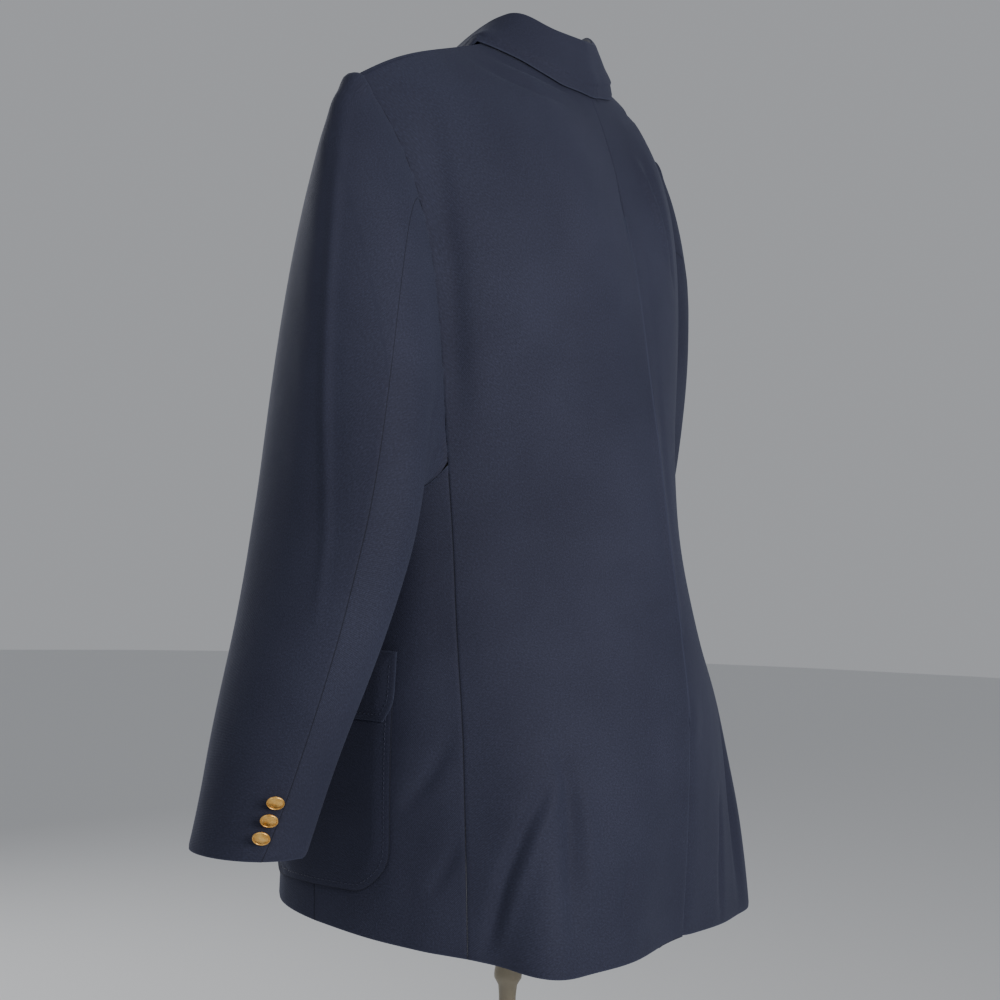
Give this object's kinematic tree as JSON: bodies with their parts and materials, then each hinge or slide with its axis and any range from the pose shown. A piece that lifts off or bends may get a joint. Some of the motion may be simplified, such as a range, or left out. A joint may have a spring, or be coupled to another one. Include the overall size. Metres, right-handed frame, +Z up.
{
  "type": "blazer on a dress form",
  "caption": "Waisted navy blazer with two-piece sleeves, patch pockets and a centre vent, shown on a limbless dress form with a pole and a round base.",
  "frame": {"origin": "on the floor at the middle of the base's underside, under the pole", "axes": "+Z up, the wearer faces -Y, the wearer's left is +X"},
  "size_m": [0.6356, 0.3491, 1.4584],
  "materials": {
    "cloth": "matt fine worsted wool",
    "buttons": "satin gilt",
    "form_cover": "matt woven linen",
    "stand": "satin"
  },
  "bodies": {
    "root": {"back_left": "cloth", "back_right": "cloth", "side_left": "cloth", "side_right": "cloth", "front_left": "cloth", "front_right": "cloth", "sleeve_top_left": "cloth", "sleeve_under_left": "cloth", "sleeve_top_right": "cloth", "sleeve_under_right": "cloth", "collar": "cloth", "lapel_left": "cloth", "lapel_right": "cloth", "pocket_left": "cloth", "pocket_right": "cloth", "flap_left": "cloth", "flap_right": "cloth", "front_button_1": "buttons", "front_button_2": "buttons", "sleeve_button_left_1": "buttons", "sleeve_button_left_2": "buttons", "sleeve_button_left_3": "buttons", "sleeve_button_right_1": "buttons", "sleeve_button_right_2": "buttons", "sleeve_button_right_3": "buttons", "dress_form": "form_cover", "pole": "stand", "base": "stand"}
  },
  "joints": []
}
